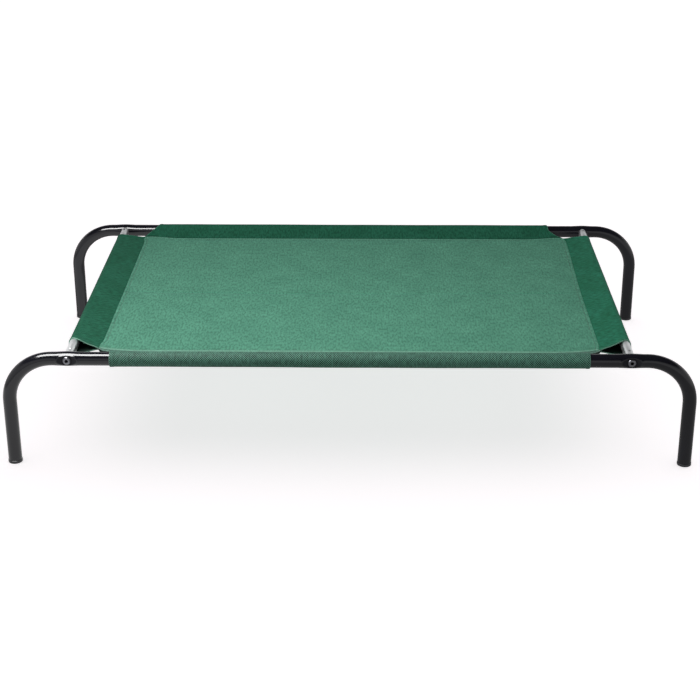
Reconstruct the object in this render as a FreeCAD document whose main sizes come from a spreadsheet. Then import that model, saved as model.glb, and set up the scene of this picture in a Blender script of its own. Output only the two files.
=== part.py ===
import FreeCAD, Part
import math
import os
import Sketcher
from FreeCAD import Placement, Rotation, Vector

# Raised pet bed: two bent side frames, two cross tubes bolted between them, and a mesh
# sling held by a sleeve round each tube. Millimetres. +X runs along the bed, +Y to its
# rear and +Z up, and the origin is on the floor under the bed's middle.

SIZES = {
    "frame_length": (1100, "outside of the legs, end to end"),
    "frame_depth": (650, "outside of the side rails, front to rear"),
    "frame_height": (192, "floor to the top of the side rails"),
    "rail_diameter": (22, "outside of the bent side tube"),
    "rail_wall": (1.2, "wall of the side tube"),
    "bend_radius": (72, "centre line of the bends above the legs"),
    "bolt_inset": (108, "frame end to the cross tube's axis"),
    "swell_length": (44, "stretch of rail that swells where it was pressed"),
    "swell_rise": (1, "how far the rail swells above and below"),
    "side_flat": (0.2, "how far the press flattened the rail's two sides"),
    "dimple_radius": (48, "curve of the pressed dimple, seen from above"),
    "dimple_depth": (3, "deepest point of the dimple"),
    "cross_diameter": (16, "outside of the cross tube"),
    "cross_wall": (1.2, "wall of the cross tube"),
    "squeezed_width": (14, "width of the cross tube's squeezed ends"),
    "squeezed_length": (25, "squeezed stretch, from the tube's end"),
    "squeeze_taper": (14, "taper from the squeezed end to the round tube"),
    "stake_inset": (10, "cross tube's end to the punched stake mark"),
    "stake_radius": (1.8, "radius of the stake mark"),
    "stake_depth": (0.6, "depth of the stake mark"),
    "insert_inset": (0.5, "cross tube's end to the threaded insert"),
    "insert_length": (20, "length of the threaded insert"),
    "thread_diameter": (6, "nominal thread of the bolts"),
    "bolt_length": (40, "bolt, under its head"),
    "head_diameter": (13, "flat button head"),
    "head_height": (3.4, "height of the head"),
    "head_edge": (1.2, "straight edge of the head under its slope"),
    "head_flat": (3.6, "radius of the flat on top of the head"),
    "socket_width": (4, "hexagon socket, across flats"),
    "socket_depth": (2.2, "depth of the socket"),
    "cap_rim_height": (5, "foot cap's rim, under the leg tube"),
    "cap_rim_stand": (0.5, "how far the rim stands out of the tube"),
    "cap_edge": (2, "rounding of the cap's lower edge"),
    "cap_plug_length": (18, "plug inside the leg"),
    "cap_plug_wall": (2, "wall of the plug"),
    "cloth": (1.2, "thickness of the mesh cloth"),
    "seam_offset": (37, "tube axis to the sleeve's stitched seam"),
    "seam_width": (3, "stretch where the sleeve's two layers lie together"),
    "scoop_radius": (148, "round cut-out at each corner of the sling"),
    "cloth_gap": (0.3, "clearance between the cloth and its tube"),
    "fit_gap": (0.1, "clearance of parts that are pushed together"),
    "bolt_gap": (0.25, "clearance round the bolts in the rails"),
    "thread_gap": (0.05, "clearance in the thread"),
}

RAIL_R = "Sizes.rail_diameter / 2"
LEG_X = "(Sizes.frame_length - Sizes.rail_diameter) / 2"
RAIL_Y = "(Sizes.frame_depth - Sizes.rail_diameter) / 2"
RAIL_Z = "(Sizes.frame_height - Sizes.rail_diameter / 2)"
CROSS_X = "(Sizes.frame_length / 2 - Sizes.bolt_inset)"
BEND_X = f"({LEG_X} - Sizes.bend_radius)"
BEND_Z = f"({RAIL_Z} - Sizes.bend_radius)"
SEAT = f"({RAIL_R} - Sizes.dimple_depth)"
PANEL_X = f"({CROSS_X} - Sizes.seam_offset)"
PANEL_Y = f"({RAIL_Y} - Sizes.seam_offset)"
SCOOP_SHIFT = "(Sizes.scoop_radius / sqrt(2) - Sizes.seam_offset)"

CORNERS = {
    "front_left": (-1, -1),
    "front_right": (1, -1),
    "rear_left": (-1, 1),
    "rear_right": (1, 1),
}

doc = FreeCAD.newDocument("raised_pet_bed")


def size_sheet():
    """Writes the driving dimensions, one to a row: what it is, and its named value."""
    sheet = doc.addObject("Spreadsheet::Sheet", "Sizes")
    for row, (alias, (size, meaning)) in enumerate(SIZES.items(), start=1):
        sheet.set(f"A{row}", meaning)
        sheet.set(f"B{row}", str(size))
        sheet.setAlias(f"B{row}", alias)
    doc.recompute()
    return sheet


SHEET = size_sheet()


def worked_out(formula):
    return float(SHEET.evalExpression(formula))


# ---- sketches -------------------------------------------------------------------------


def new_sketch(body, plane, name, offset="0"):
    """Starts a sketch on one of the body's own origin planes, moved along its normal."""
    sketch = body.newObject("Sketcher::SketchObject", name)
    support = next(f for f in body.Origin.OriginFeatures if f.Role == plane)
    sketch.AttachmentSupport = (support, [""])
    sketch.MapMode = "FlatFace"
    sketch.setExpression("AttachmentOffset.Base.z", offset)
    return sketch


def bound(sketch, kind, *place_and_formula):
    """Adds one dimension to a sketch and ties it to a formula."""
    *place, formula = place_and_formula
    index = sketch.addConstraint(Sketcher.Constraint(kind, *place, worked_out(formula)))
    sketch.setExpression(f"Constraints[{index}]", formula)


def pin(sketch, shape, end, x, y):
    """Fixes one point of a shape: end 1 is its start, 2 its end and 3 its centre."""
    bound(sketch, "DistanceX", -1, 1, shape, end, x)
    bound(sketch, "DistanceY", -1, 1, shape, end, y)


def circle(sketch, x, y, radius):
    centre = Vector(worked_out(x), worked_out(y), 0)
    shape = sketch.addGeometry(Part.Circle(centre, Vector(0, 0, 1), worked_out(radius)))
    pin(sketch, shape, 3, x, y)
    bound(sketch, "Radius", shape, radius)


def line(sketch, start, end):
    """Adds a line whose ends are not fixed yet."""
    ends = [Vector(worked_out(x), worked_out(y), 0) for x, y in (start, end)]
    return sketch.addGeometry(Part.LineSegment(*ends))


def join(sketch, first, second, kind="Coincident"):
    """Joins the end of the first shape to the start of the second."""
    sketch.addConstraint(Sketcher.Constraint(kind, first, 2, second, 1))


def polygon(sketch, corners):
    """Closes straight lines through the corners, each a pair of formulas."""
    following = corners[1:] + corners[:1]
    lines = [line(sketch, *ends) for ends in zip(corners, following)]
    for number, here in enumerate(lines):
        join(sketch, lines[number - 1], here)
        pin(sketch, here, 1, *corners[number])


def arc(sketch, centre, radius, start, end):
    """Adds an arc, anticlockwise between two angles in degrees, with nothing fixed yet."""
    middle = Vector(worked_out(centre[0]), worked_out(centre[1]), 0)
    full = Part.Circle(middle, Vector(0, 0, 1), worked_out(radius))
    turned = Part.ArcOfCircle(full, math.radians(start), math.radians(end))
    return sketch.addGeometry(turned)


# ---- features -------------------------------------------------------------------------


def new_body(name):
    return doc.addObject("PartDesign::Body", name)


def pad(body, sketch, length, both_ways=False):
    made = body.newObject("PartDesign::Pad", f"{sketch.Name}_pad")
    made.Profile = sketch
    made.setExpression("Length", length)
    made.Midplane = both_ways
    return made


def pocket(body, sketch, both_ways=False, reversed_way=False):
    """Cuts a sketch right through and stops the model if it removed nothing."""
    doc.recompute()
    before = body.Shape.Volume
    made = body.newObject("PartDesign::Pocket", f"{sketch.Name}_pocket")
    made.Profile = sketch
    made.Type = "ThroughAll"
    made.Midplane = both_ways
    made.Reversed = reversed_way
    doc.recompute()
    if body.Shape.Volume >= before:
        raise ValueError(f"{made.Name} cuts nothing")
    return made


def revolve(body, sketch, axis):
    made = body.newObject("PartDesign::Revolution", f"{sketch.Name}_turned")
    made.Profile = sketch
    made.ReferenceAxis = (sketch, [axis])
    made.Angle = 360
    return made


def hollow(label, outside, inside):
    """Leaves the wall between two forms of the same piece."""
    made = doc.addObject("Part::Cut", label)
    made.Base = outside
    made.Tool = inside
    made.Label = label
    return made


def put(piece, x="0", y="0", z="0", turn=0):
    """Places a finished piece, turned about +Z by so many degrees."""
    piece.Placement = Placement(Vector(), Rotation(Vector(0, 0, 1), turn))
    for axis, formula in (("x", x), ("y", y), ("z", z)):
        piece.setExpression(f"Placement.Base.{axis}", formula)
    return piece


# ---- side frames ----------------------------------------------------------------------


def bent_path(body, name):
    """Centre line of a side tube: up one leg, along the rail and down the other leg."""
    path = new_sketch(body, "XZ_Plane", name)
    left_foot = (f"-{LEG_X}", "Sizes.cap_rim_height")
    left_bend = (f"-{LEG_X}", BEND_Z)
    rail_ends = ((f"-{BEND_X}", RAIL_Z), (BEND_X, RAIL_Z))
    right_bend = (LEG_X, BEND_Z)
    right_foot = (LEG_X, "Sizes.cap_rim_height")
    left_leg = line(path, left_foot, left_bend)
    rail = line(path, *rail_ends)
    right_leg = line(path, right_bend, right_foot)
    for shape, ends in (
        (left_leg, (left_foot, left_bend)),
        (rail, rail_ends),
        (right_leg, (right_bend, right_foot)),
    ):
        pin(path, shape, 1, *ends[0])
        pin(path, shape, 2, *ends[1])
    for middle, angle, start, end in (
        (f"-{BEND_X}", 90, (left_leg, 2), (rail, 1)),
        (BEND_X, 0, (rail, 2), (right_leg, 1)),
    ):
        bend = arc(path, (middle, BEND_Z), "Sizes.bend_radius", angle, angle + 90)
        path.addConstraint(Sketcher.Constraint("Coincident", bend, 2, *start))
        path.addConstraint(Sketcher.Constraint("Coincident", bend, 1, *end))
        bound(path, "Radius", bend, "Sizes.bend_radius")
    return path


def swell(body, name, side, inset):
    """Turns a shallow barrel about the rail's axis, over the stretch that was pressed."""
    half = "(Sizes.swell_length / 2)"
    radius = f"({RAIL_R} - {inset})"
    middle = f"({side} * {CROSS_X})"
    ends = [(f"{middle} {sign} {half}", f"{RAIL_Z} + {radius}") for sign in "-+"]
    feet = [(f"{middle} {sign} {half}", RAIL_Z) for sign in "-+"]
    curve = f"(({half} * {half} / Sizes.swell_rise + Sizes.swell_rise) / 2)"
    low_centre = f"{RAIL_Z} + {radius} + Sizes.swell_rise - {curve}"
    outline = new_sketch(body, "XZ_Plane", name)
    sides = [
        line(outline, ends[0], feet[0]),
        line(outline, *feet),
        line(outline, feet[1], ends[1]),
    ]
    join(outline, sides[0], sides[1])
    join(outline, sides[1], sides[2])
    pin(outline, sides[0], 1, *ends[0])
    pin(outline, sides[1], 1, *feet[0])
    pin(outline, sides[1], 2, *feet[1])
    pin(outline, sides[2], 2, *ends[1])
    crown = outline.addGeometry(
        Part.Arc(
            Vector(worked_out(ends[1][0]), worked_out(ends[1][1]), 0),
            Vector(worked_out(middle), worked_out(f"{low_centre} + {curve}"), 0),
            Vector(worked_out(ends[0][0]), worked_out(ends[0][1]), 0),
        )
    )
    join(outline, sides[2], crown)
    join(outline, crown, sides[0])
    bound(outline, "Radius", crown, curve)
    axis = outline.addGeometry(
        Part.LineSegment(
            Vector(worked_out(feet[0][0]), worked_out(RAIL_Z), 0),
            Vector(worked_out(feet[1][0]), worked_out(RAIL_Z), 0),
        ),
        True,
    )
    pin(outline, axis, 1, *feet[0])
    pin(outline, axis, 2, *feet[1])
    revolve(body, outline, "Axis0")


def pressed_flats(body, name, inset):
    """Flattens the rail's two sides where it swells, which keeps it within its width."""
    reach = "(Sizes.swell_length / 2 + Sizes.rail_wall)"
    near = f"({RAIL_R} - Sizes.side_flat - {inset})"
    far = f"({RAIL_R} + 2 * Sizes.swell_rise)"
    flats = new_sketch(body, "XY_Plane", name)
    for side in ("-1", "1"):
        middle = f"{side} * {CROSS_X}"
        for way in ("-1", "1"):
            polygon(
                flats,
                [
                    (f"{middle} - {reach}", f"{way} * {near}"),
                    (f"{middle} + {reach}", f"{way} * {near}"),
                    (f"{middle} + {reach}", f"{way} * {far}"),
                    (f"{middle} - {reach}", f"{way} * {far}"),
                ],
            )
    pocket(body, flats, both_ways=True)


def dimples(body, name, inset):
    """Presses an upright round hollow into the outer side of the rail at each bolt."""
    pressed = new_sketch(body, "XY_Plane", name)
    for side in ("-1", "1"):
        circle(
            pressed,
            f"{side} * {CROSS_X}",
            f"-({SEAT} + Sizes.dimple_radius)",
            f"Sizes.dimple_radius + {inset}",
        )
    pocket(body, pressed, both_ways=True)


def tube_form(name, inset):
    """The side tube as a solid, drawn in by inset all over."""
    body = new_body(name)
    path = bent_path(body, f"{name}_path")
    section = new_sketch(body, "XY_Plane", f"{name}_section", "Sizes.cap_rim_height")
    circle(section, f"-{LEG_X}", "0", f"{RAIL_R} - {inset}")
    pipe = body.newObject("PartDesign::AdditivePipe", f"{name}_pipe")
    pipe.Profile = section
    pipe.Spine = (path, [])
    for word, side in (("left", "-1"), ("right", "1")):
        swell(body, f"{name}_{word}_swell", side, inset)
    pressed_flats(body, f"{name}_flats", inset)
    dimples(body, f"{name}_dimples", inset)
    return body


def bolt_holes(body, name):
    """Cuts a flat seat for each bolt head and the bolt's hole through both walls."""
    seats = new_sketch(body, "XZ_Plane", f"{name}_seats", SEAT)
    holes = new_sketch(body, "XZ_Plane", f"{name}_holes")
    for side in ("-1", "1"):
        place = (f"{side} * {CROSS_X}", RAIL_Z)
        circle(seats, *place, "Sizes.head_diameter / 2 + Sizes.bolt_gap")
        circle(holes, *place, "Sizes.thread_diameter / 2 + Sizes.bolt_gap")
    pocket(body, seats, reversed_way=True)
    pocket(body, holes, both_ways=True)


def side_frame(label, y, turn):
    outside = tube_form(f"{label}_outside", "0")
    bolt_holes(outside, label)
    inside = tube_form(f"{label}_inside", "Sizes.rail_wall")
    return put(hollow(label, outside, inside), y=y, turn=turn)


# ---- cross tubes and their inserts ----------------------------------------------------

SADDLE = f"({RAIL_R} + Sizes.swell_rise + Sizes.fit_gap)"
REACH = f"({RAIL_Y} - {SADDLE})"
LOST_WIDTH = "(Sizes.cross_diameter - Sizes.squeezed_width)"
SQUEEZED_HEIGHT = f"(Sizes.squeezed_width + pi / 2 * {LOST_WIDTH})"
SQUEEZE_END = f"({REACH} - Sizes.squeezed_length)"
ROUND_END = f"({SQUEEZE_END} - Sizes.squeeze_taper)"


def oval(sketch, width, height):
    """An upright slot: two half circles and the two straight sides between them."""
    half = f"({width} / 2)"
    rise = f"(({height} - {width}) / 2)"
    top = arc(sketch, ("0", rise), half, 0, 180)
    low = arc(sketch, ("0", f"-{rise}"), half, 180, 360)
    left = line(sketch, (f"-{half}", rise), (f"-{half}", f"-{rise}"))
    right = line(sketch, (half, f"-{rise}"), (half, rise))
    for first, second in ((top, left), (left, low), (low, right), (right, top)):
        join(sketch, first, second, "Tangent")
    pin(sketch, top, 3, "0", rise)
    pin(sketch, low, 3, "0", f"-{rise}")
    bound(sketch, "Radius", top, half)


def cross_form(name, inset):
    """The cross tube as a solid along Y: round, then tapering to an upright oval."""
    body = new_body(name)
    width = f"(Sizes.squeezed_width - 2 * {inset})"
    height = f"({SQUEEZED_HEIGHT} - 2 * {inset})"
    middle = new_sketch(body, "XZ_Plane", f"{name}_middle")
    circle(middle, "0", "0", f"Sizes.cross_diameter / 2 - {inset}")
    pad(body, middle, f"2 * {ROUND_END}", both_ways=True)
    for word, way in (("front", 1), ("rear", -1)):
        neck = new_sketch(body, "XZ_Plane", f"{name}_{word}_neck", f"{way} * {ROUND_END}")
        circle(neck, "0", "0", f"Sizes.cross_diameter / 2 - {inset}")
        mouth = new_sketch(body, "XZ_Plane", f"{name}_{word}_mouth", f"{way} * {SQUEEZE_END}")
        oval(mouth, width, height)
        taper = body.newObject("PartDesign::AdditiveLoft", f"{name}_{word}_taper")
        taper.Profile = neck
        taper.Sections = [mouth]
        taper.Ruled = True
        end = pad(body, mouth, f"{RAIL_Y} - {SQUEEZE_END}")
        end.Reversed = way < 0
    return body


def saddle(body, name):
    """Copes both ends of the cross tube to sit on the swollen stretch of the rails."""
    cope = new_sketch(body, "YZ_Plane", name)
    for way in ("-1", "1"):
        circle(cope, f"{way} * {RAIL_Y}", "0", SADDLE)
    pocket(body, cope, both_ways=True)


def stake_marks(body, name):
    """Punches the mark that holds each insert, in the top of the tube."""
    marks = new_sketch(body, "XY_Plane", name, f"{SQUEEZED_HEIGHT} / 2 - Sizes.stake_depth")
    for way in ("-1", "1"):
        circle(marks, "0", f"{way} * ({REACH} - Sizes.stake_inset)", "Sizes.stake_radius")
    pocket(body, marks, reversed_way=True)


def cross_tube(label, side):
    outside = cross_form(f"{label}_outside", "0")
    saddle(outside, f"{label}_saddle")
    stake_marks(outside, f"{label}_stakes")
    inside = cross_form(f"{label}_inside", "Sizes.cross_wall")
    return put(hollow(label, outside, inside), x=f"{side} * {CROSS_X}", z=RAIL_Z)


def threaded_insert(label, side, way):
    """An oval steel plug in the tube's end, threaded for the bolt."""
    body = new_body(label)
    around = "2 * (Sizes.cross_wall + Sizes.fit_gap)"
    section = new_sketch(body, "XZ_Plane", f"{label}_section")
    oval(section, f"(Sizes.squeezed_width - {around})", f"({SQUEEZED_HEIGHT} - {around})")
    pad(body, section, "Sizes.insert_length")
    thread = new_sketch(body, "XZ_Plane", f"{label}_thread")
    circle(thread, "0", "0", "Sizes.thread_diameter / 2 + Sizes.thread_gap")
    pocket(body, thread, both_ways=True)
    place = f"{way} * ({REACH} - Sizes.insert_inset)"
    return put(body, f"{side} * {CROSS_X}", place, RAIL_Z, turn=180 if way < 0 else 0)


# ---- bolts and foot caps --------------------------------------------------------------


def bolt(label, side, way):
    """Button head outwards along -Y, its underside at the origin, and a plain shank."""
    body = new_body(label)
    head, shank = "Sizes.head_diameter / 2", "Sizes.thread_diameter / 2"
    outline = new_sketch(body, "XY_Plane", f"{label}_outline")
    polygon(
        outline,
        [
            ("0", "-Sizes.head_height"),
            ("Sizes.head_flat", "-Sizes.head_height"),
            (head, "-Sizes.head_edge"),
            (head, "0"),
            (shank, "0"),
            (shank, "Sizes.bolt_length"),
            ("0", "Sizes.bolt_length"),
        ],
    )
    revolve(body, outline, "V_Axis")
    socket = new_sketch(body, "XZ_Plane", f"{label}_socket", "Sizes.head_height - Sizes.socket_depth")
    across = "Sizes.socket_width / sqrt(3)"
    corners = [f"{60 * number} deg" for number in range(6)]
    polygon(socket, [(f"{across} * cos({turn})", f"{across} * sin({turn})") for turn in corners])
    pocket(body, socket, reversed_way=True)
    place = f"{way} * ({RAIL_Y} + {SEAT})"
    return put(body, f"{side} * {CROSS_X}", place, RAIL_Z, turn=180 if way > 0 else 0)


def foot_cap(label, side, way):
    """A cap with a flat base, a rounded lower edge and a hollow plug up the leg."""
    body = new_body(label)
    rim = f"({RAIL_R} + Sizes.cap_rim_stand)"
    plug = f"({RAIL_R} - Sizes.rail_wall - Sizes.fit_gap)"
    top = "Sizes.cap_rim_height + Sizes.cap_plug_length"
    outline = new_sketch(body, "XZ_Plane", f"{label}_outline")
    polygon(
        outline,
        [
            ("0", "0"),
            (rim, "0"),
            (rim, "Sizes.cap_rim_height"),
            (plug, "Sizes.cap_rim_height"),
            (plug, top),
            (f"{plug} - Sizes.cap_plug_wall", top),
            (f"{plug} - Sizes.cap_plug_wall", "Sizes.cap_rim_height"),
            ("0", "Sizes.cap_rim_height"),
        ],
    )
    turned = revolve(body, outline, "V_Axis")
    doc.recompute()
    edge = body.newObject("PartDesign::Fillet", f"{label}_edge")
    edge.Base = (turned, [lowest_round_edge(turned.Shape)])
    edge.setExpression("Radius", "Sizes.cap_edge")
    return put(body, f"{side} * {LEG_X}", f"{way} * {RAIL_Y}")


def lowest_round_edge(shape):
    """Names the largest circle on the floor."""
    on_floor = [
        (edge.Length, f"Edge{number}")
        for number, edge in enumerate(shape.Edges, start=1)
        if edge.BoundBox.ZMax < worked_out("Sizes.cap_edge") / 2
    ]
    return max(on_floor)[1]


# ---- sling ----------------------------------------------------------------------------


def teardrop(sketch, tube):
    """A loop of cloth round a tube. Its two layers leave the tube on tangents and close
    at the seam, which lies along the sketch's first axis."""
    inner = f"({tube} / 2 + Sizes.cloth_gap)"
    outer = f"({inner} + Sizes.cloth)"
    near, far = "(Sizes.seam_offset - Sizes.seam_width)", "Sizes.seam_offset"
    slope = math.atan2(worked_out("Sizes.cloth"), worked_out(near))
    span = math.hypot(worked_out("Sizes.cloth"), worked_out(near))
    leave = slope + math.acos(worked_out(outer) / span)
    tip = worked_out(inner) / math.cos(leave)

    def touch(radius, way):
        reach = worked_out(radius)
        return Vector(reach * math.cos(leave), way * reach * math.sin(leave), 0)

    def layer(radius, meet, low_meet):
        back = arc(sketch, ("0", "0"), radius, math.degrees(leave), 360 - math.degrees(leave))
        upper = sketch.addGeometry(Part.LineSegment(meet, touch(radius, 1)))
        lower = sketch.addGeometry(Part.LineSegment(touch(radius, -1), low_meet))
        join(sketch, upper, back, "Tangent")
        join(sketch, back, lower, "Tangent")
        pin(sketch, back, 3, "0", "0")
        bound(sketch, "Radius", back, radius)
        return upper, lower

    ends = [(near, "Sizes.cloth"), (near, "-Sizes.cloth"), (far, "-Sizes.cloth"), (far, "Sizes.cloth")]
    corners = [Vector(worked_out(u), worked_out(w), 0) for u, w in ends]
    upper, lower = layer(outer, corners[0], corners[1])
    seam = [line(sketch, *pair) for pair in zip(ends[1:], ends[2:] + ends[:1])]
    for first, second in zip([lower] + seam, seam + [upper]):
        join(sketch, first, second)
    for shape, corner in zip(seam + [upper], ends[1:] + ends[:1]):
        pin(sketch, shape, 1, *corner)
    point = Vector(tip, 0, 0)
    upper_inside, lower_inside = layer(inner, point, point)
    join(sketch, lower_inside, upper_inside)
    sketch.addConstraint(Sketcher.Constraint("PointOnObject", upper_inside, 1, -1))
    sketch.addConstraint(Sketcher.Constraint("Parallel", upper, upper_inside))


def sleeve(label, tube, half_length, x="0", y="0", turn=0):
    """Cloth round one tube, along X, with its seam towards +Y and round-cut ends."""
    body = new_body(label)
    section = new_sketch(body, "YZ_Plane", f"{label}_section")
    teardrop(section, tube)
    pad(body, section, f"2 * {half_length}", both_ways=True)
    scoops = new_sketch(body, "XY_Plane", f"{label}_scoops")
    for way in ("-1", "1"):
        middle = f"{way} * ({half_length} + Sizes.seam_offset + {SCOOP_SHIFT})"
        circle(scoops, middle, f"-{SCOOP_SHIFT}", "Sizes.scoop_radius")
    pocket(body, scoops, both_ways=True)
    return put(body, x, y, RAIL_Z, turn)


def sling_panel(label):
    """The single layer of cloth between the four seams."""
    body = new_body(label)
    outline = new_sketch(body, "XY_Plane", f"{label}_outline")
    corners = [(-1, -1), (1, -1), (1, 1), (-1, 1)]
    polygon(outline, [(f"{x} * {PANEL_X}", f"{y} * {PANEL_Y}") for x, y in corners])
    pad(body, outline, "Sizes.cloth", both_ways=True)
    return put(body, z=RAIL_Z)


# ---- the whole bed --------------------------------------------------------------------


def make_bed():
    pieces = [
        side_frame("front_side_frame", f"-{RAIL_Y}", 0),
        side_frame("rear_side_frame", RAIL_Y, 180),
        cross_tube("left_cross_tube", -1),
        cross_tube("right_cross_tube", 1),
    ]
    for corner, (side, way) in CORNERS.items():
        pieces.append(threaded_insert(f"{corner}_insert", side, way))
        pieces.append(bolt(f"{corner}_bolt", side, way))
        pieces.append(foot_cap(f"{corner}_foot_cap", side, way))
    pieces.append(sling_panel("sling_panel"))
    for label, side in (("front_sleeve", -1), ("rear_sleeve", 1)):
        turn = 180 if side > 0 else 0
        place = f"{side} * {RAIL_Y}"
        pieces.append(sleeve(label, "Sizes.rail_diameter", PANEL_X, y=place, turn=turn))
    for label, side in (("left_sleeve", -1), ("right_sleeve", 1)):
        place = f"{side} * {CROSS_X}"
        pieces.append(sleeve(label, "Sizes.cross_diameter", PANEL_Y, x=place, turn=90 * side))
    doc.recompute()
    return pieces


def check_objects():
    """Stops if any object of the document failed to rebuild."""
    for item in doc.Objects:
        if "Invalid" in item.State or "Error" in item.State:
            raise ValueError(f"{item.Name} is {item.State}")


def write_pieces(pieces):
    for piece in pieces:
        if piece.Shape.isNull() or not piece.Shape.isValid():
            raise ValueError(f"{piece.Label} has no valid shape")
    os.makedirs("parts", exist_ok=True)
    for piece in pieces:
        piece.Shape.exportStep(f"parts/{piece.Label}.step")
        box = piece.Shape.BoundBox
        low_x, low_y, low_z = (round(size, 2) for size in (box.XMin, box.YMin, box.ZMin))
        high_x, high_y, high_z = (round(size, 2) for size in (box.XMax, box.YMax, box.ZMax))
        span = f"X {low_x}..{high_x} Y {low_y}..{high_y} Z {low_z}..{high_z}"
        print(f"{piece.Label}: {len(piece.Shape.Solids)} solid, {piece.Shape.Volume:.0f} mm3, {span}")


bed = make_bed()
check_objects()
write_pieces(bed)
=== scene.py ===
import math

import bmesh
import bpy
from mathutils import Euler, Matrix, Vector


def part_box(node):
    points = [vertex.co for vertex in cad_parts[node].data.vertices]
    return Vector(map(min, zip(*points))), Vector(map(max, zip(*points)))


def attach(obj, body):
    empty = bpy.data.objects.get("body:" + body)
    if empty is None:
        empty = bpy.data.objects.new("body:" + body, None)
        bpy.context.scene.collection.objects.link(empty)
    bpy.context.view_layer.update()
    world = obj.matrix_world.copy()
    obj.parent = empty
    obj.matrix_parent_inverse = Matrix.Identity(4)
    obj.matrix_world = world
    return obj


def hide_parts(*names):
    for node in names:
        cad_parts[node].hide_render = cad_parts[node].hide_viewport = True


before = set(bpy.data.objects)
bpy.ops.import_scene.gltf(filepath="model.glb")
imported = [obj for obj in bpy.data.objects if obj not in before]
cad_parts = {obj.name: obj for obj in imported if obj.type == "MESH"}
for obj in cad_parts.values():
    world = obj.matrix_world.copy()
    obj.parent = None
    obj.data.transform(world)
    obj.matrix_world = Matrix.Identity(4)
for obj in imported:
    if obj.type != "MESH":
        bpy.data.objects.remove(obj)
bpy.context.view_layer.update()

# A raised pet bed. Metres, in the frame of the CAD model: +X runs along the bed, +Y to its
# rear and +Z up, with the origin on the floor under its middle.

MM = 0.001


def middle(node, axis):
    low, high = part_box(node)
    return (low[axis] + high[axis]) / 2


# ---- places, taken from the frame -----------------------------------------------------

CROSS_X = middle("right_cross_tube", 0)
RAIL_Z = middle("right_cross_tube", 2)
RAIL_Y = middle("rear_side_frame", 1)
RAIL_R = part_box("rear_side_frame")[1].y - RAIL_Y
LEG_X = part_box("rear_side_frame")[1].x - RAIL_R
LEG_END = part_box("rear_side_frame")[0].z
CROSS_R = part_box("right_cross_tube")[1].x - CROSS_X
SEAM_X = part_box("sling_panel")[1].x
SEAM_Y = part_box("sling_panel")[1].y
SEAM_OFFSET = CROSS_X - SEAM_X
SWELL_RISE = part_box("rear_side_frame")[1].z - RAIL_Z - RAIL_R
CAP_R = (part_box("rear_right_foot_cap")[1].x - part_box("rear_right_foot_cap")[0].x) / 2
HEAD_R = middle("rear_right_bolt", 0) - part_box("rear_right_bolt")[0].x

# ---- sizes that the frame's boxes don't give ------------------------------------------

BEND_RADIUS = 72 * MM
RAIL_WALL = 1.2 * MM
SWELL_LENGTH = 46 * MM
SIDE_FLAT = 0.2 * MM
DIMPLE_RADIUS = 48 * MM
DIMPLE_DEPTH = 3 * MM
DIMPLE_ROUNDING = 0.5 * MM
SEAT_R = HEAD_R + 0.4 * MM
LIP_HEIGHT = 0.6 * MM
LIP_WIDTH = 0.8 * MM
SQUEEZED_WIDTH = 14 * MM
SQUEEZED_LENGTH = 25 * MM
SQUEEZE_TAPER = 16 * MM
SADDLE_R = RAIL_R + SWELL_RISE + 0.1 * MM
STAKE_INSET = 9 * MM
STAKE_R = 1.9 * MM
STAKE_DEPTH = 0.9 * MM
SCOOP_R = 148 * MM
SCOOP_SHIFT = SCOOP_R / math.sqrt(2) - SEAM_OFFSET
CORNER_PULL = (3 * MM, 5 * MM)
CORNER_SPREAD = 14 * MM
HEM_WIDTH = 6 * MM
SEAM_ALLOWANCE = 7 * MM
SHEET_T = 0.9 * MM
TUBE_GAP = 0.4 * MM

AROUND = 96
FASTENER_AROUND = 48
# A narrow ring at each end of a leg keeps the smooth shading of its wall off its rim.
END_RING = 0.3 * MM
CORNERS = {
    "front_left": (-1, -1),
    "front_right": (1, -1),
    "rear_left": (-1, 1),
    "rear_right": (1, 1),
}


# ---- small helpers --------------------------------------------------------------------


def linear(hex_colour):
    """Turns an sRGB colour such as "5C937E" to the linear RGBA that shaders take."""
    shares = [int(hex_colour[k : k + 2], 16) / 255 for k in (0, 2, 4)]
    lit = [s / 12.92 if s <= 0.04045 else ((s + 0.055) / 1.055) ** 2.4 for s in shares]
    return (*lit, 1.0)


def smoothstep(low, high, value):
    share = min(1.0, max(0.0, (value - low) / (high - low)))
    return share * share * (3 - 2 * share)


def soft_least(first, second, width):
    """The smaller of two lengths, rounded off over a width where they cross."""
    share = min(1.0, max(0.0, 0.5 + 0.5 * (second - first) / width))
    return second * (1 - share) + first * share - width * share * (1 - share)


def edges_of(found):
    return [item for item in found if isinstance(item, bmesh.types.BMEdge)]


def draw_out(bm, loop, shift, steps=1):
    """Draws a loop of edges out along a straight line, in equal steps."""
    drawn = bmesh.ops.spin(
        bm, geom=loop, cent=(0, 0, 0), axis=(0, 0, 1), dvec=Vector(shift) / steps, steps=steps
    )
    return edges_of(drawn["geom_last"])


def turn(bm, loop, centre, axis, angle, steps):
    """Carries a loop of edges round a bend."""
    drawn = bmesh.ops.spin(bm, geom=loop, cent=centre, axis=axis, angle=angle, steps=steps)
    return edges_of(drawn["geom_last"])


def lathe(profile, segments=AROUND):
    """Spins a profile of (radius, height) points about +Z into a closed solid."""
    bm = bmesh.new()
    points = [bm.verts.new((radius, 0, height)) for radius, height in profile]
    edges = [bm.edges.new(pair) for pair in zip(points, points[1:])]
    bmesh.ops.spin(
        bm,
        geom=points + edges,
        cent=(0, 0, 0),
        axis=(0, 0, 1),
        angle=math.tau,
        steps=segments,
        use_merge=True,
    )
    bmesh.ops.remove_doubles(bm, verts=bm.verts, dist=0.01 * MM)
    bmesh.ops.recalc_face_normals(bm, faces=bm.faces)
    return bm


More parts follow.
